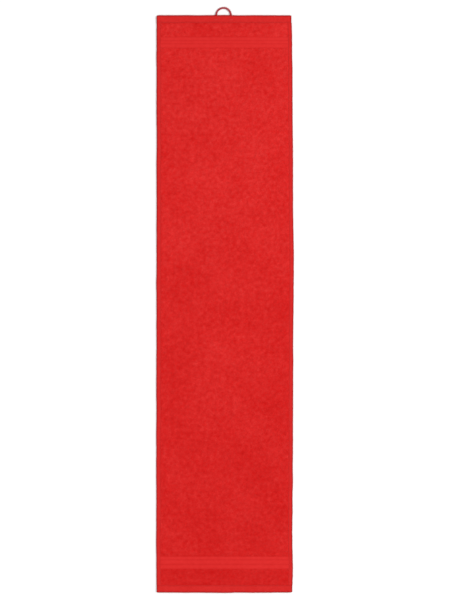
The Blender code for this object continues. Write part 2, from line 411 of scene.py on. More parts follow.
def band(name, rings, material, hollows=None):
    """A solid drawn through rings of points, given as (ring, point, xyz), with its two ends
    filled. Its maps run round the ring and along the band."""
    stations, around = rings.shape[:2]
    faces = tube_faces(stations, around)
    obj = object_from(name, rings.reshape(-1, 3), faces, material)
    if hollows is not None:
        mark_hollows(obj, hollows)

    step = np.linalg.norm(np.roll(rings, -1, axis=1) - rings, axis=2).mean(axis=0)
    round_way = np.concatenate([[0], np.cumsum(step)])
    hop = np.linalg.norm(np.diff(rings.mean(axis=1), axis=0), axis=1)
    long_way = np.concatenate([[0], np.cumsum(hop)])
    i, j = np.meshgrid(np.arange(stations - 1), np.arange(around), indexing="ij")
    u = np.stack([j, j + 1, j + 1, j], -1).reshape(-1)
    v = np.stack([i, i, i + 1, i + 1], -1).reshape(-1)
    cap_u, cap_v = np.zeros(2 * around), np.repeat([0.0, 1.0], around)
    real = np.column_stack([round_way[u], long_way[v]])
    cap_real = np.column_stack([cap_u, cap_v * long_way[-1]])
    write_map(obj, "cloth", np.concatenate([real, cap_real]))
    shares = np.column_stack([on_map(u / around), on_map(v / (stations - 1))])
    cap_share = np.column_stack([cap_u + 0.4 * MAP_MARGIN, on_map(cap_v)])
    write_map(obj, "OFBake", np.concatenate([shares, cap_share]))
    return obj


def join(name, parts):
    """Several parts made one piece."""
    bpy.ops.object.select_all(action="DESELECT")
    for part in parts:
        part.select_set(True)
    bpy.context.view_layer.objects.active = parts[0]
    bpy.ops.object.join()
    parts[0].name = parts[0].data.name = name
    return parts[0]


# --- materials


# A colour Mix node has sockets for each kind of value. These are its factor, its two
# colours and its result
MIX_SHARE, MIX_FIRST, MIX_SECOND, MIX_RESULT = 0, 6, 7, 2


def node(tree, kind, **settings):
    made = tree.nodes.new(kind)
    for key, value in settings.items():
        setattr(made, key, value)
    return made


def set_inputs(made, **values):
    for key, value in values.items():
        made.inputs[key.replace("_", " ")].default_value = value


def new_group(name, inputs, outputs):
    """An empty shader group with named sockets. Returns it with its two end nodes."""
    tree = bpy.data.node_groups.new(name, "ShaderNodeTree")
    for socket, kind, value in inputs:
        made = tree.interface.new_socket(socket, in_out="INPUT", socket_type=kind)
        if value is not None:
            made.default_value = value
    for socket, kind in outputs:
        tree.interface.new_socket(socket, in_out="OUTPUT", socket_type=kind)
    return tree, tree.nodes.new("NodeGroupInput"), tree.nodes.new("NodeGroupOutput")


def arithmetic(tree, operation, first, second):
    """A Math node. Each of the two values is a socket or a number."""
    made = node(tree, "ShaderNodeMath", operation=operation)
    for slot, value in zip(made.inputs, (first, second)):
        if isinstance(value, (int, float)):
            slot.default_value = value
        else:
            tree.links.new(value, slot)
    return made.outputs[0]


def stretch_value(tree, value, low, high, to_low=0.0, to_high=1.0):
    """Spreads a value from low..high over to_low..to_high."""
    made = node(tree, "ShaderNodeMapRange")
    set_inputs(made, From_Min=low, From_Max=high, To_Min=to_low, To_Max=to_high)
    tree.links.new(value, made.inputs["Value"])
    return made.outputs["Result"]


def tone_and_sheen_variation():
    """Colour that varies at random, in patches a hand wide, tufts a fingertip wide and single
    yarns: partly uneven dye and partly painted, as its light end is a whiter red that paints
    the sheen of the fibres, and its patches partly stand in for the shade of gentle swells.
    """
    tree, start, end = new_group(
        "tone_and_sheen_variation",
        (
            ("Vector", "NodeSocketVector", None),
            ("Light", "NodeSocketColor", (0.7, 0.03, 0.03, 1)),
            ("Deep", "NodeSocketColor", (0.5, 0.01, 0.01, 1)),
            ("Tufts", "NodeSocketFloat", 0.5),
            ("Patches", "NodeSocketFloat", 0.3),
        ),
        (("Color", "NodeSocketColor"), ("Depth", "NodeSocketFloat")),
    )
    amounts = []
    for scale, detail, socket in ((115, 3, "Tufts"), (11, 2, "Patches")):
        cloud = node(tree, "ShaderNodeTexNoise")
        set_inputs(cloud, Scale=scale, Detail=detail, Roughness=0.6)
        tree.links.new(start.outputs["Vector"], cloud.inputs["Vector"])
        spread = stretch_value(tree, cloud.outputs["Fac"], 0.3, 0.7, -0.5, 0.5)
        amounts.append(arithmetic(tree, "MULTIPLY", spread, start.outputs[socket]))
    total = arithmetic(tree, "ADD", amounts[0], amounts[1])
    depth = node(tree, "ShaderNodeClamp")
    tree.links.new(arithmetic(tree, "ADD", total, 0.5), depth.inputs["Value"])
    mix = node(tree, "ShaderNodeMix", data_type="RGBA")
    tree.links.new(depth.outputs[0], mix.inputs[MIX_SHARE])
    tree.links.new(start.outputs["Light"], mix.inputs[MIX_FIRST])
    tree.links.new(start.outputs["Deep"], mix.inputs[MIX_SECOND])
    tree.links.new(mix.outputs[MIX_RESULT], end.inputs["Color"])
    tree.links.new(depth.outputs[0], end.inputs["Depth"])
    return tree


def loop_pile():
    """The face of looped pile: leaning arcs of yarn, with painted shade in the hollows between
    them.
    """
    tree, start, end = new_group(
        "loop_pile",
        (("Vector", "NodeSocketVector", None), ("Loops per Metre", "NodeSocketFloat", 620.0)),
        (("Height", "NodeSocketFloat"), ("Shade Between Loops", "NodeSocketFloat")),
    )
    lean = node(tree, "ShaderNodeTexNoise")
    set_inputs(lean, Scale=330, Detail=2)
    tree.links.new(start.outputs["Vector"], lean.inputs["Vector"])
    leaning = node(tree, "ShaderNodeVectorMath", operation="MULTIPLY_ADD")
    leaning.inputs[1].default_value = (2.6 * MM, 2.6 * MM, 0.0)
    tree.links.new(lean.outputs["Color"], leaning.inputs[0])
    tree.links.new(start.outputs["Vector"], leaning.inputs[2])
    heads = node(tree, "ShaderNodeTexVoronoi", feature="SMOOTH_F1")
    set_inputs(heads, Randomness=1.0, Smoothness=0.12)
    tree.links.new(leaning.outputs["Vector"], heads.inputs["Vector"])
    tree.links.new(start.outputs["Loops per Metre"], heads.inputs["Scale"])
    strands = node(tree, "ShaderNodeTexNoise")
    set_inputs(strands, Scale=2600, Detail=2, Distortion=1.2)
    tree.links.new(start.outputs["Vector"], strands.inputs["Vector"])
    arc_radius = 0.28
    from_arc = arithmetic(tree, "SUBTRACT", heads.outputs["Distance"], arc_radius)
    off_arc = arithmetic(tree, "ABSOLUTE", from_arc, 0.0)
    arc = stretch_value(tree, off_arc, 0.0, arc_radius, 1.0, 0.0)
    strand = arithmetic(tree, "MULTIPLY", strands.outputs["Fac"], 0.7)
    tree.links.new(arithmetic(tree, "ADD", arc, strand), end.inputs["Height"])
    hollow = stretch_value(tree, heads.outputs["Distance"], 0.38, 0.85)
    tree.links.new(hollow, end.inputs["Shade Between Loops"])
    return tree


def flat_weave():
    """Crossing yarns of a flat weave, given by the yarns in a metre each way, with painted shade
    in the gaps between them.
    """
    tree, start, end = new_group(
        "flat_weave",
        (
            ("Vector", "NodeSocketVector", None),
            ("Across", "NodeSocketFloat", 1300.0),
            ("Along", "NodeSocketFloat", 1300.0),
        ),
        (("Height", "NodeSocketFloat"), ("Gap Shade", "NodeSocketFloat")),
    )
    place = node(tree, "ShaderNodeSeparateXYZ")
    tree.links.new(start.outputs["Vector"], place.inputs[0])
    rises = []
    for axis, socket in (("X", "Across"), ("Y", "Along")):
        turns = arithmetic(tree, "MULTIPLY", place.outputs[axis], start.outputs[socket])
        turn = arithmetic(tree, "MULTIPLY", turns, math.pi)
        rises.append(arithmetic(tree, "SINE", turn, 0.0))
    crossing = arithmetic(tree, "MULTIPLY", rises[0], rises[1])
    height = stretch_value(tree, crossing, -1.0, 1.0)
    fuzz = node(tree, "ShaderNodeTexNoise")
    set_inputs(fuzz, Scale=900, Detail=3)
    tree.links.new(start.outputs["Vector"], fuzz.inputs["Vector"])
    soft = arithmetic(tree, "MULTIPLY", fuzz.outputs["Fac"], 0.6)
    tree.links.new(arithmetic(tree, "ADD", height, soft), end.inputs["Height"])
    gap = stretch_value(tree, crossing, 0.2, -0.9, 0.0, 0.5)
    tree.links.new(gap, end.inputs["Gap Shade"])
    return tree


def twisted_yarn():
    """Fibres that wind round a thread or a cord's strand, with painted shade between the
    windings.
    """
    tree, start, end = new_group(
        "twisted_yarn",
        (
            ("Vector", "NodeSocketVector", None),
            ("Fibres", "NodeSocketFloat", 2400.0),
            ("Slant", "NodeSocketFloat", 0.8),
        ),
        (("Height", "NodeSocketFloat"), ("Shade", "NodeSocketFloat")),
    )
    place = node(tree, "ShaderNodeSeparateXYZ")
    tree.links.new(start.outputs["Vector"], place.inputs[0])
    slanted = arithmetic(tree, "MULTIPLY", place.outputs["Y"], start.outputs["Slant"])
    winding = arithmetic(tree, "ADD", place.outputs["X"], slanted)
    turn = arithmetic(tree, "MULTIPLY", winding, start.outputs["Fibres"])
    wave = stretch_value(tree, arithmetic(tree, "SINE", turn, 0.0), -1.0, 1.0)
    fuzz = node(tree, "ShaderNodeTexNoise")
    set_inputs(fuzz, Scale=1500, Detail=3)
    tree.links.new(start.outputs["Vector"], fuzz.inputs["Vector"])
    tree.links.new(arithmetic(tree, "ADD", wave, fuzz.outputs["Fac"]), end.inputs["Height"])
    tree.links.new(stretch_value(tree, wave, 0.45, 0.0), end.inputs["Shade"])
    return tree


def cloth_material(name, group_for_height, settings, light, deep, hollow, roughness, bump, sheen):
    """A dyed cotton finish: varied colour with painted shade in its hollows, grooves, seams and
    edges, and raised yarns. light and deep are the two ends of the colour variation, the light
    end whiter as a painted sheen, and the colour given after them is the tint that painted
    shade multiplies them by. roughness is for the light and the deep ends, and bump is
    (strength, height). settings holds the amounts of tufts and patches in the colour
    variation, and the relief group's own values."""
    material = bpy.data.materials.new(name)
    material.use_nodes = True
    tree = material.node_tree
    shader = tree.nodes["Principled BSDF"]
    place = node(tree, "ShaderNodeUVMap", uv_map="cloth")
    tone_and_sheen = node(tree, "ShaderNodeGroup", node_tree=GROUPS["tone_and_sheen"])
    set_inputs(tone_and_sheen, Light=(*light, 1), Deep=(*deep, 1))
    set_inputs(tone_and_sheen, Tufts=settings["tufts"], Patches=settings["patches"])
    relief = node(tree, "ShaderNodeGroup", node_tree=GROUPS[group_for_height])
    for socket, value in settings["relief"].items():
        relief.inputs[socket].default_value = value
    tree.links.new(place.outputs["UV"], tone_and_sheen.inputs["Vector"])
    tree.links.new(place.outputs["UV"], relief.inputs["Vector"])

    # The attribute holds the stored painted shade. It and the relief's own shade between yarns
    # and loops each darken the colour towards the shade tint, as painted shade
    shaped = node(tree, "ShaderNodeAttribute", attribute_name="hollow")
    colour = tone_and_sheen.outputs["Color"]
    for depth in (relief.outputs[1], shaped.outputs["Fac"]):
        shade = node(tree, "ShaderNodeMix", data_type="RGBA", blend_type="MULTIPLY")
        shade.inputs[MIX_SECOND].default_value = (*hollow, 1)
        tree.links.new(depth, shade.inputs[MIX_SHARE])
        tree.links.new(colour, shade.inputs[MIX_FIRST])
        colour = shade.outputs[MIX_RESULT]
    tree.links.new(colour, shader.inputs["Base Color"])

    bumped = node(tree, "ShaderNodeBump")
    set_inputs(bumped, Strength=bump[0], Distance=bump[1])
    tree.links.new(relief.outputs["Height"], bumped.inputs["Height"])
    tree.links.new(bumped.outputs["Normal"], shader.inputs["Normal"])

    dull = stretch_value(tree, tone_and_sheen.outputs["Depth"], 0.0, 1.0, roughness[0], roughness[1])
    tree.links.new(dull, shader.inputs["Roughness"])
    shader.inputs["Specular IOR Level"].default_value = sheen["gloss"]
    shader.inputs["Sheen Weight"].default_value = sheen["weight"]
    shader.inputs["Sheen Roughness"].default_value = LINT_ROUGHNESS
    shader.inputs["Sheen Tint"].default_value = LINT_TINT
    return material


LINT_ROUGHNESS = 0.45
LINT_TINT = (1.0, 0.55, 0.52, 1)
GROUPS = {
    "tone_and_sheen": tone_and_sheen_variation(),
    "pile": loop_pile(),
    "weave": flat_weave(),
    "twist": twisted_yarn(),
}

# In each finish the light colour is whiter than the deep one partly as a painted sheen, and the
# last colour is the tint of the finish's painted shade
RED_TERRY = cloth_material(
    "red_terry_pile",
    "pile",
    {"tufts": 0.7, "patches": 0.35, "relief": {"Loops per Metre": 780.0}},
    light=(0.785, 0.0395, 0.0360),
    deep=(0.662, 0.0080, 0.0070),
    hollow=(0.87, 0.50, 0.50),
    roughness=(0.88, 0.98),
    bump=(0.9, 0.55 * MM),
    sheen={"gloss": 0.15, "weight": 0.10},
)
RED_BORDER = cloth_material(
    "red_border_weave",
    "weave",
    {"tufts": 0.35, "patches": 0.25, "relief": {"Across": 2900.0, "Along": 1500.0}},
    light=(0.65, 0.0205, 0.0188),
    deep=(0.575, 0.0110, 0.0100),
    hollow=(0.88, 0.62, 0.62),
    roughness=(0.72, 0.82),
    bump=(0.35, 0.3 * MM),
    sheen={"gloss": 0.16, "weight": 0.05},
)
RED_HEM = cloth_material(
    "red_hem_weave",
    "weave",
    {"tufts": 0.45, "patches": 0.3, "relief": {"Across": 1900.0, "Along": 1900.0}},
    light=(0.640, 0.0215, 0.0195),
    deep=(0.570, 0.0108, 0.0098),
    hollow=(0.55, 0.36, 0.36),
    roughness=(0.82, 0.92),
    bump=(0.4, 0.35 * MM),
    sheen={"gloss": 0.14, "weight": 0.07},
)
RED_THREAD = cloth_material(
    "red_sewing_thread",
    "twist",
    {"tufts": 0.4, "patches": 0.3, "relief": {"Fibres": 12000.0, "Slant": 0.8}},
    light=(0.66, 0.022, 0.020),
    deep=(0.52, 0.014, 0.013),
    hollow=(0.75, 0.6, 0.6),
    roughness=(0.5, 0.65),
    bump=(0.4, 0.1 * MM),
    sheen={"gloss": 0.35, "weight": 0.05},
)
CRIMSON_CORD = cloth_material(
    "crimson_twisted_cord",
    "twist",
    {"tufts": 0.5, "patches": 0.3, "relief": {"Fibres": 9000.0, "Slant": 0.45}},
    light=(0.47, 0.050, 0.062),
    deep=(0.33, 0.028, 0.038),
    hollow=(0.6, 0.45, 0.5),
    roughness=(0.6, 0.78),
    bump=(0.5, 0.25 * MM),
    sheen={"gloss": 0.35, "weight": 0.15},
)


# --- the cloth


def broad_darkening(x, y):
    """How much darker the pile is: patches as wide as a hand, which are painted shade standing
    in for gentle swells in the cloth, more darkening towards the bottom end, and most in the
    strip below the bottom border."""
    patches = bumps(SHADE_PATCHES, x, y) + bumps(SMALL_SHADE_PATCHES, x, y)
    to_bottom = smooth_step(0.5 - y / BOTTOM_DARKENING_LENGTH)
    in_strip = smooth_step((STRIP_DARKENING_FROM - y) / STRIP_DARKENING_LENGTH)
    return patches + BOTTOM_DARKENING * to_bottom + STRIP_DARKENING * in_strip


def pile_rise(x, y, seed):
    """Unevenness of the pile itself, as clumps of loops and as single loops."""
    clumps = bumps(WIDE_CLUMPS, x, y, seed) + bumps(SMALL_CLUMPS, x, y, seed)
    return clumps, bumps(LOOPS, x, y, seed)


def pile_heights(ends):
    """Heights and painted shade of the face and back of a pile field that thins towards its
    side hems, and towards each of the given ends."""

    def fullness(x, y, left, right):
        nearest = np.minimum(x - left, right - x)
        for end in ends:
            nearest = np.minimum(nearest, np.abs(y - end))
        return smooth_step(nearest / SHOULDER + SHOULDER_START)

    full_pile = (TERRY_HIGH - TERRY_LOW) / 2 - ROOM_FOR_LOOPS

    def away(x, y, left, right, seed):
        """How far the tips of the pile lie from the middle, and how much painted shade they get.
        """
        amount = fullness(x, y, left, right)
        clumps, loops = pile_rise(x, y, seed)
        hollow = MEAN_PAINTED_SHADE - (clumps + LOOP_SHADE * loops) / HOLLOW_DEPTH
        hollow = hollow + THIN_SHADE * (1 - amount) + broad_darkening(x, y)
        relief = (clumps + loops) * (THIN_RELIEF + (1 - THIN_RELIEF) * amount)
        return THIN_PILE + (full_pile - THIN_PILE) * amount + relief, hollow

    def face(x, y, left, right):
        rise, hollow = away(x, y, left, right, FACE_PILE_SEED)
        return MID_PLANE + rise + lie(x, y), hollow

    def back(x, y, left, right):
        drop, hollow = away(x, y, left, right, BACK_PILE_SEED)
        swell = BACK_SWELL_SHARE * lie(x, y)
        return np.maximum(MID_PLANE - drop + swell, TERRY_LOW), hollow

    return face, back


def border_heights(low, high, grooves):
    """Heights of a flat woven border whose grooves part it into crowned ribs, and its painted
    shade, deepest in the grooves and following the cockles.
    """
    lines = [low, *grooves, high]

    def rib(y):
        rise = np.zeros_like(y)
        for start, stop in zip(lines[:-1], lines[1:]):
            t = (y - start) / (stop - start)
            inside = (t >= 0) & (t <= 1)
            rise[inside] = 1 - np.abs(2 * t[inside] - 1) ** RIB_FULLNESS
        return rise

    def face(x, y, left, right):
        cockle = bumps(COCKLE, x, y)
        crown = BORDER_HALF + RIB_RISE * rib(y)
        height = MID_PLANE + crown + COCKLE_RISE * cockle + lie(x, y)
        return height, 1 - rib(y) + COCKLE_SHADE * cockle

    def back(x, y, left, right):
        crown = BORDER_HALF + RIB_RISE * rib(y)
        return MID_PLANE - crown + BACK_SWELL_SHARE * lie(x, y), 1 - rib(y)

    return face, back


# --- side hems


def hem_section(width, half):
    """One side hem's section as (out from its inner lip, height) points: the lip, the groove
    of the seam, a crown, and the round fold of the outer edge."""

    def half_at(depth):
        lip = HEM_LIP + (1 - HEM_LIP) * smooth_step(depth / HEM_LIP_WIDTH)
        crown = 1 - HEM_CROWN + HEM_CROWN * math.sin(math.pi * min(depth / width, 1.0))
        return half * lip * crown - GROOVE * near(depth, SEAM_INSET, GROOVE_WIDTH)

    stops = (0, 0.35, 0.75, 1.05, 1.3, 1.5, 1.7, 1.95, 2.4, 3.2, 4.6, 6.0, 7.0)
    depths = [stop * MM for stop in stops if stop * MM < width - half]
    face = [(depth, half_at(depth)) for depth in depths]
    at_fold, steps = half_at(width - half), 6
    for step in range(steps + 1):
        turn = math.pi / 2 - math.pi * step / steps
        face.append((width - half + half * math.cos(turn), at_fold * math.sin(turn)))
    back = [(depth, -height) for depth, height in reversed(face[: len(depths)])]
    return np.array(face + back)


def painted_edge_shade(from_edge):
    """How much painted shadow lies on the round fold at a hem's outer edge."""
    return smooth_step(1 - from_edge / EDGE_SHADE)


def side_hem(name, side, low, high):
    """A side hem from low to high. It follows the cloth's edge and is drawn in a little at
    every stitch."""
    width = SIDE_HEM + TUCK
    section = hem_section(width, SIDE_HEM_HALF)
    depth, rise = section[:, 0], section[:, 1]
    stations = max(4, int(round((high - low) / HEM_PITCH)) + 1)
    y = np.linspace(low, high, stations)
    outer = (left_edge if side < 0 else right_edge)(y)
    x = outer[:, None] + side * (depth - width)[None, :]
    along = np.broadcast_to(y[:, None], x.shape)

    near_seam = near(depth, SEAM_INSET, SIDE_PUCKER_WIDTH)
    pucker = SIDE_PUCKER * np.cos(2 * np.pi * y / STITCH_PITCH)
    swell = 1 + bumps(HEM_SWELL, side * 0.5, y)[:, None]
    height = rise[None, :] * swell - pucker[:, None] * near_seam[None, :] * np.sign(rise)
    ripple = bumps(HEM_RIPPLE, x, along)
    z = MID_PLANE + height + ripple + HEM_SWELL_SHARE * lie(x, y[:, None])
    rings = np.stack([x, along, z], -1)

    # Painted shade in the seam's groove and a painted shadow along the outer fold, with a random
    # mottle added
    amount, reach = SIDE_SEAM_SHADE
    hollows = amount * near(depth, SEAM_INSET, reach)
    hollows = np.maximum(hollows, painted_edge_shade(width - depth))
    hollows = np.broadcast_to(hollows[None, :], x.shape) + bumps(HEM_MOTTLE, x, along)
    if side < 0:
        rings, hollows = rings[:, ::-1], hollows[:, ::-1]
    return band(name, rings, RED_HEM, hollows)


# --- end hems


def end_hem_section():
    """An end hem's section as (out from the cloth, height) points: the cloth folded over to
    the back twice, so that three layers show at its ends."""
    turn_at = END_HEM + TUCK - END_FOLD - END_LAYER / 2
    outer_steps, inner_steps = 8, 4
    line = [(0.0, END_FOLD)]
    line += [(turn_at * t, END_FOLD) for t in (0.06, 0.10, 0.14, 0.2, 0.4, 0.6, 0.8)]
    for step in range(outer_steps + 1):
        turn = math.pi / 2 - math.pi * step / outer_steps
        line.append((turn_at + END_FOLD * math.cos(turn), END_FOLD * math.sin(turn)))
    line += [(turn_at * t, -END_FOLD) for t in (0.8, 0.6, 0.4, 0.2, 0.14)]
    inner = END_FOLD / 2
    for step in range(inner_steps + 1):
        turn = -math.pi / 2 - math.pi * step / inner_steps
        line.append((INNER_FOLD_AT + inner * math.cos(turn), -inner + inner * math.sin(turn)))
    line += [(turn_at * t, 0.0) for t in (0.3, 0.6, 0.92)]
    line = np.array(line)
    way = np.gradient(line, axis=0)
    way /= np.linalg.norm(way, axis=1)[:, None]
    aside = np.column_stack([-way[:, 1], way[:, 0]]) * END_LAYER / 2
    return np.concatenate([line + aside, (line - aside)[::-1]])


def end_hem(name, edge, outward):
    """An end hem across the towel, from one long edge to the other. edge is where it folds
    and outward is the side that it faces."""
    section = end_hem_section()
    depth, rise = section[:, 0], section[:, 1]
    stations = int(round(2 * HALF_WIDTH / HEM_PITCH)) + 1
    beside = np.array([edge - outward * END_CORNER_INSET])
    left, right = float(left_edge(beside)[0]), float(right_edge(beside)[0])
    x = np.linspace(left, right, stations)

    y = (edge - outward * (END_HEM + TUCK)) + outward * depth[None, :] * np.ones((stations, 1))
    sag = END_EDGE_SAG[name] * (1 - (2 * (x - left) / (right - left) - 1) ** 2)
    wander = bumps(END_LONG_WANDER, x, 0.0) + bumps(END_SHORT_WANDER, x, 0.0)
    wander = wander + END_EDGE_REACH[name]
    y = y + (outward * (wander + sag))[:, None] * (depth / END_HEM)[None, :]
    corner = np.minimum(x - left, right - x)
    rounding = END_CORNER_CUT * (1 - smooth_step(corner / END_CORNER_WIDTH))
    y = y - outward * rounding[:, None] * (depth / END_HEM)[None, :] ** 2

    seam = SEAM_INSET + TUCK
    drawn_in = GROOVE + END_PUCKER * np.cos(2 * np.pi * x / STITCH_PITCH)
    dip = drawn_in[:, None] * near(depth, seam, END_PUCKER_WIDTH)[None, :]
    height = rise[None, :] - np.sign(rise)[None, :] * dip
    wide = np.broadcast_to(x[:, None], y.shape)
    ripple = bumps(END_RIPPLE, wide, y)
    z = MID_PLANE + height + ripple + HEM_SWELL_SHARE * lie(wide, y)
    rings = np.stack([wide, y, z], -1)

    # Painted shade in the seam's groove and a painted shadow along the outer fold and towards
    # both ends, with a random mottle added
    amount, reach = END_SEAM_SHADE
    hollows = amount * near(depth, seam, reach)
    hollows = np.maximum(hollows, painted_edge_shade(depth.max() - depth))[None, :]
    hollows = np.maximum(hollows, painted_edge_shade(corner)[:, None]) + bumps(END_MOTTLE, wide, y)
    if outward < 0:
        rings, hollows = rings[:, ::-1], hollows[:, ::-1]
    return band(name, rings, RED_HEM, hollows)


# --- stitches


def stitch_shape():
    """One stitch of thread, as rings along Y: its ends dive into the cloth."""
    along = np.array((-0.5, -0.44, -0.22, 0.22, 0.44, 0.5)) * STITCH_LENGTH
    radius = np.array((0.35, 0.8, 1.0, 1.0, 0.8, 0.35)) * THREAD_RADIUS
    rise = np.array((-0.42, -0.16, 0.05, 0.05, -0.16, -0.42)) * MM
    turn = np.arange(THREAD_SIDES) * 2 * math.pi / THREAD_SIDES
    rings = np.zeros((len(along), THREAD_SIDES, 3))
    rings[:, :, 0] = radius[:, None] * np.cos(turn)
    rings[:, :, 1] = along[:, None]
    rings[:, :, 2] = rise[:, None] + radius[:, None] * np.sin(turn)
    return rings


def stitches(name, places, headings, upward):
    """Many stitches as one piece, each at its place and turned to its heading. upward is 1
    for a stitch on the face and -1 for one on the back, which is turned over."""
    rings = stitch_shape()
    stations, around = rings.shape[:2]
    count = len(places)
    shape = np.broadcast_to(rings.reshape(-1, 3), (count, stations * around, 3)).copy()
    x, y, z = shape[:, :, 0], shape[:, :, 1], shape[:, :, 2] * upward[:, None]
    cosine, sine = np.cos(headings)[:, None], np.sin(headings)[:, None]
    turned = np.stack([x * cosine + y * sine, -x * sine + y * cosine, z], -1)
    points = (turned + places[:, None, :]).reshape(-1, 3)
    one = [face[::-1] for face in tube_faces(stations, around)]
    faces = []
    for k in range(count):
        offset = k * stations * around
        flip = -1 if upward[k] < 0 else 1
        faces += [[offset + v for v in face[::flip]] for face in one]
    obj = object_from(name, points, faces, RED_THREAD)
    corners = corner_points(obj)
    within = corners % (stations * around)
    u = (within % around) / around * 2 * math.pi * THREAD_RADIUS
    in_stitch = (within // around) * STITCH_LENGTH / stations
    v = in_stitch + (corners // (stations * around)) * STITCH_PITCH
    write_map(obj, "cloth", np.column_stack([u, v]))
    return obj


def seam_row(name, x, y, half, heading, seed):
    """A seam's stitches on both faces, at every x and y. half is the hem's half thickness
    under them and heading is the way that they run."""
    places, headings, upward = [], [], []
    chance = np.random.RandomState(seed)
    for sign in (1, -1):
        z = MID_PLANE + sign * (half + STITCH_LIFT) + HEM_SWELL_SHARE * lie(x, y)
        places.append(np.column_stack([x, y, z]))
        headings.append(heading + chance.uniform(-STITCH_STRAY, STITCH_STRAY, len(x)))
        upward.append(np.full(len(x), float(sign)))
    rows = [np.concatenate(item) for item in (places, headings, upward)]
    return stitches(name, *rows)


def side_seam(name, side, low, high, seed):
    """The stitches along one side hem. A stitch belongs to the stretch that it starts in."""
    first, last = math.ceil(low / STITCH_PITCH), math.ceil(high / STITCH_PITCH)
    y = np.arange(first, last) * STITCH_PITCH + STITCH_PITCH / 2
    edge = (left_edge if side < 0 else right_edge)(y)
    x = edge - side * (SIDE_HEM + TUCK - SEAM_INSET)
    return seam_row(name, x, y, SIDE_HEM_HALF * SEAM_THINNING - GROOVE, 0.0, seed)


def end_seam(name, edge, outward, seed):
    """The stitches along an end hem, from one side hem's edge to the other's."""
    left = float(left_edge(np.array([edge]))[0]) + END_SEAM_STOP
    right = float(right_edge(np.array([edge]))[0]) - END_SEAM_STOP
    first, last = math.ceil(left / STITCH_PITCH), math.floor(right / STITCH_PITCH)
    x = np.arange(first, last) * STITCH_PITCH + STITCH_PITCH / 2
    y = np.full(len(x), edge - outward * (END_HEM - SEAM_INSET))
    return seam_row(name, x, y, END_FOLD + END_LAYER / 2 - GROOVE, math.pi / 2, seed)


def bartack(name, seed):
    """A bar of dense zigzag stitches across the end of the cord, on both faces."""
    low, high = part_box(name)
    chance = np.random.RandomState(seed)
    turns = BARTACK_TURNS
    x = np.linspace(low.x + BARTACK_MARGIN, high.x - BARTACK_MARGIN, turns)
    zigzag = np.where(np.arange(turns) % 2, BARTACK_SLANT, -BARTACK_SLANT)
    places, headings, upward = [], [], []
    for sign in (1, -1):
        shift = chance.uniform(-BARTACK_SHIFT, BARTACK_SHIFT, turns) * MM
        y = np.full(turns, (low.y + high.y) / 2) + shift
        surface = MID_PLANE + sign * (END_FOLD + END_LAYER / 2 + BARTACK_LIFT)
        z = np.full(turns, surface) + HEM_SWELL_SHARE * lie(x, y)
        places.append(np.column_stack([x, y, z]))
        headings.append(zigzag + chance.uniform(-BARTACK_STRAY, BARTACK_STRAY, turns))
        upward.append(np.full(turns, float(sign)))
    rows = [np.concatenate(item) for item in (places, headings, upward)]
    return stitches(f"{name}_stitches", *rows)


# --- hanging loop


def cord_route():
    """The cord's middle line: up out of the hem, round the arch and back in."""
    low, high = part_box("hanger_loop")
    radius = (high.x - low.x - CORD_DIAMETER) / 2 - CORD_CLEARANCE
    centre_y = high.y - CORD_DIAMETER / 2 - radius - CORD_CLEARANCE
    straight_steps, arch_steps = 9, 48
    points = []
    for step in range(straight_steps):
        points.append((radius, centre_y - CORD_INSIDE * (1 - step / straight_steps)))
    for step in range(arch_steps + 1):
        turn = math.pi * step / arch_steps
        points.append((radius * math.cos(turn), centre_y + radius * math.sin(turn)))
    for step in range(1, straight_steps + 1):
        points.append((-radius, centre_y - CORD_INSIDE * step / straight_steps))
    level = MID_PLANE + CORD_CLEARANCE
    line = np.array([(SWING.x + across, along, level) for across, along in points])
    # A sewn cord isn't a perfect arch
    line[:, 0] += CORD_BOW * np.sin(line[:, 1] * CORD_BOW_TURNS)
    return line


def resample(line, step):
    """The same line with evenly spaced points, and how far along it each of them lies."""
    hop = np.linalg.norm(np.diff(line, axis=0), axis=1)
    way = np.concatenate([[0], np.cumsum(hop)])
    stops = np.linspace(0, way[-1], int(way[-1] / step) + 1)
    return np.column_stack([np.interp(stops, way, line[:, k]) for k in range(3)]), stops


def twisted_cord(name):
    """Three strands laid round each other along the route. Inside the hem the cord is
    pressed flat, and a little wider for it. Returns it with its middle line and length."""
    line, way = resample(cord_route(), CORD_STEP)
    forward = np.gradient(line, axis=0)
    forward /= np.linalg.norm(forward, axis=1)[:, None]
    up = np.tile([0.0, 0.0, 1.0], (len(line), 1))
    aside = np.cross(forward, up)
    out_of_hem = (line[:, 1] - (TOP_EDGE + PRESSED_UP_TO)) / CORD_DIAMETER
    flat = 1 - CORD_PRESSED * (1 - smooth_step(out_of_hem))
    spread = (2 - flat) ** 0.25
    strands = []
    for strand in range(3):
        lay = 2 * math.pi * (way / CORD_LAY + strand / 3)
        rings = np.zeros((len(line), CORD_SIDES, 3))
        for k in range(CORD_SIDES):
            turn = 2 * math.pi * k / CORD_SIDES
            radius = STRAND_RADIUS * (1 + STRAND_LUMPS * math.cos(3 * turn))
            across = STRAND_OFFSET * np.cos(lay) + radius * np.cos(turn + lay)
            height = STRAND_OFFSET * np.sin(lay) + radius * np.sin(turn + lay)
            sideways = aside * (across * spread)[:, None]
            rings[:, k] = line + sideways + up * (height * flat)[:, None]
        strands.append(band(f"{name}_strand_{strand}", rings[:, ::-1], CRIMSON_CORD))
    made = join(name, strands)
    return made, line, float(way[-1])


# --- camera, light


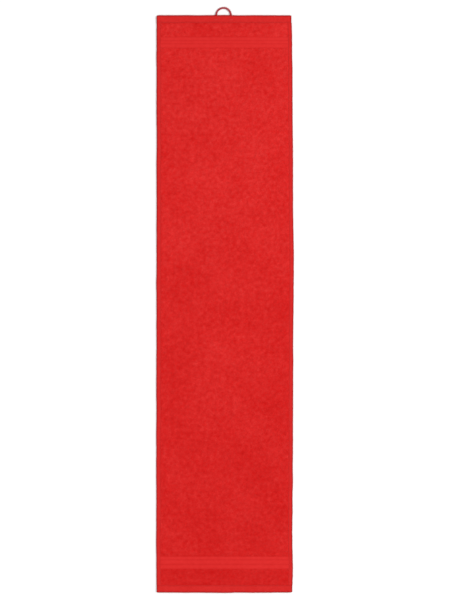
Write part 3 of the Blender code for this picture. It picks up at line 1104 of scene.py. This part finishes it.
def camera_and_light():
    """A long lens straight above the cloth, a pale floor and soft studio light."""
    view_height, lens, sensor = 1.3476, 200.0, 36.0
    centre = (0.4 * MM, -0.7 * MM)
    camera = bpy.data.objects.new("camera", bpy.data.cameras.new("camera"))
    camera.data.sensor_fit = "VERTICAL"
    camera.data.sensor_height = sensor
    camera.data.lens = lens
    camera.data.clip_end = 50
    camera.location = (*centre, view_height * lens / sensor + TERRY_HIGH)
    bpy.context.scene.collection.objects.link(camera)
    bpy.context.scene.camera = camera

    bpy.ops.object.select_all(action="DESELECT")
    bpy.ops.mesh.primitive_plane_add(size=14, location=(0, 0, -0.3 * MM))
    floor = bpy.context.object
    floor.name = "floor"
    finish = bpy.data.materials.new("pale_floor")
    finish.use_nodes = True
    shader = finish.node_tree.nodes["Principled BSDF"]
    shader.inputs["Base Color"].default_value = (0.93, 0.93, 0.93, 1)
    shader.inputs["Roughness"].default_value = 0.9
    shader.inputs["Specular IOR Level"].default_value = 0.1
    floor.data.materials.append(finish)

    for name, place, size, power in (
        ("key_light", (1.9, 0.9, 3.0), 1.8, 72.0),
        ("fill_light", (-0.7, -1.3, 3.0), 2.4, 41.0),
    ):
        light = bpy.data.lights.new(name, "AREA")
        light.shape = "SQUARE"
        light.size = size
        light.energy = power
        lamp = bpy.data.objects.new(name, light)
        lamp.location = place
        lamp.rotation_euler = (-Vector(place)).to_track_quat("-Z", "Y").to_euler()
        bpy.context.scene.collection.objects.link(lamp)
    world = bpy.data.worlds.new("studio")
    world.use_nodes = True
    world.node_tree.nodes["Background"].inputs["Color"].default_value = (1, 1, 1, 1)
    world.node_tree.nodes["Background"].inputs["Strength"].default_value = 0.56
    bpy.context.scene.world = world
    bpy.context.scene.view_settings.view_transform = "Standard"


# --- putting up


def span_of(*nodes):
    """How far along the towel some CAD nodes reach."""
    boxes = [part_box(name) for name in nodes]
    return min(low.y for low, _ in boxes), max(high.y for _, high in boxes)


def stretches():
    """The five stretches between the end hems, from the top: name, low end, high end, the
    panels that it lies on, and the fold line that it crosses."""
    tops = [span_of(f"side_hem_left_{panel}")[1] for panel in PANELS]
    lows = [span_of(f"side_hem_left_{panel}")[0] for panel in PANELS]
    middles = [(low + high) / 2 for low, high in zip(lows, tops)]
    cuts = [tops[0], *middles, lows[-1]]
    names = ("top", "upper", "middle", "lower", "bottom")
    made = []
    for k, name in enumerate(names):
        panels = [PANELS[i] for i in (k - 1, k) if 0 <= i < len(PANELS)]
        fold = k - 1 if 0 < k <= len(FOLDS) else None
        made.append((name, cuts[k + 1], cuts[k], panels, fold))
    return made


def settle(obj, panels, fold):
    """Makes a stretch that crosses no fold line ride on its panel. A stretch across a fold line
    only has its place baked into its mesh, and rides on no panel.
    """
    if fold is None:
        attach(obj, f"{panels[0]}_panel")
        return
    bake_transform(obj)


def hems_of_stretch(name, low, high, panels, fold, seed):
    """The side hems of one stretch and their seams, as a list of pieces."""
    made = []
    for side, word in ((-1, "left"), (1, "right")):
        hem = side_hem(f"{word}_hem_{name}", side, low, high)
        solids = [f"side_hem_{word}_{panel}" for panel in panels]
        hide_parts(*solids)
        settle(hem, panels, fold)
        seam = side_seam(f"{word}_seam_{name}", side, low, high, seed + side)
        threads = [f"{solid}_{kind}_thread" for solid in solids for kind in ("needle", "bobbin")]
        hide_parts(*threads)
        settle(seam, panels, fold)
        made += [hem, seam]
    return made


def long_field():
    """The long pile field between the two borders, with the side hems all along the towel."""
    low_pile = span_of("terry_field_lower")[0] - JOIN_GAP
    high_pile = span_of("terry_field_upper")[1] + JOIN_GAP
    face, back = pile_heights((low_pile, high_pile))
    for k, (name, low, high, panels, fold) in enumerate(stretches()):
        seed = SIDE_SEAM_SEED + SIDE_SEAM_SEED_STEP * k
        sewn_on = hems_of_stretch(name, low, high, panels, fold, seed)
        low, high = max(low, low_pile), min(high, high_pile)
        terry = slab(f"terry_pile_{name}", low, high, face, back, RED_TERRY, SIDE_HEM - TUCK)
        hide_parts(*[f"terry_field_{panel}" for panel in panels])
        settle(terry, panels, fold)


def end_of_towel(end, edge, outward, panel, grooves):
    """What lies beyond the long field at one end: the ribbed border, a strip of pile and the
    end hem. grooves are the shares of the border at which its ribs part."""
    hem = end_hem(f"{end}_end_hem", edge, outward)
    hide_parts(f"end_hem_{end}")
    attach(hem, panel)
    seam = end_seam(f"{end}_end_seam", edge, outward, END_SEAM_SEED + outward)
    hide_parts(*[f"end_hem_{end}_{kind}_thread" for kind in ("needle", "bobbin")])
    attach(seam, panel)

    low, high = span_of(f"pile_strip_{end}")
    low, high = low - JOIN_GAP, high + JOIN_GAP
    face, back = pile_heights((low, high))
    strip = slab(f"{end}_strip_terry", low, high, face, back, RED_TERRY, SIDE_HEM - TUCK)
    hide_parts(f"pile_strip_{end}")
    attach(strip, panel)

    low, high = span_of(f"border_{end}")
    face, back = border_heights(low, high, [low + share * (high - low) for share in grooves])
    low_edge, high_edge = low - TUCK, high + TUCK
    name, inset = f"{end}_woven_border", SIDE_HEM - TUCK
    border = slab(name, low_edge, high_edge, face, back, RED_BORDER, inset)
    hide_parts(f"border_{end}")
    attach(border, panel)


def hanging_loop():
    """The cord loop, which rides on no panel and does not bend, and its two bartacks on the
    upper panel.
    """
    cord, line, length = twisted_cord("twisted_loop_cord")
    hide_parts("hanger_loop", "loop_end_left", "loop_end_right")
    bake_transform(cord)
    for side, seed in BARTACK_SEEDS.items():
        tack = bartack(f"bartack_{side}", seed)
        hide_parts(f"bartack_{side}")
        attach(tack, "upper_panel")


camera_and_light()
hanging_loop()
long_field()
end_of_towel("top", TOP_EDGE, 1, "upper_panel", TOP_GROOVES)
end_of_towel("bottom", BOTTOM_EDGE, -1, "lower_panel", BOTTOM_GROOVES)
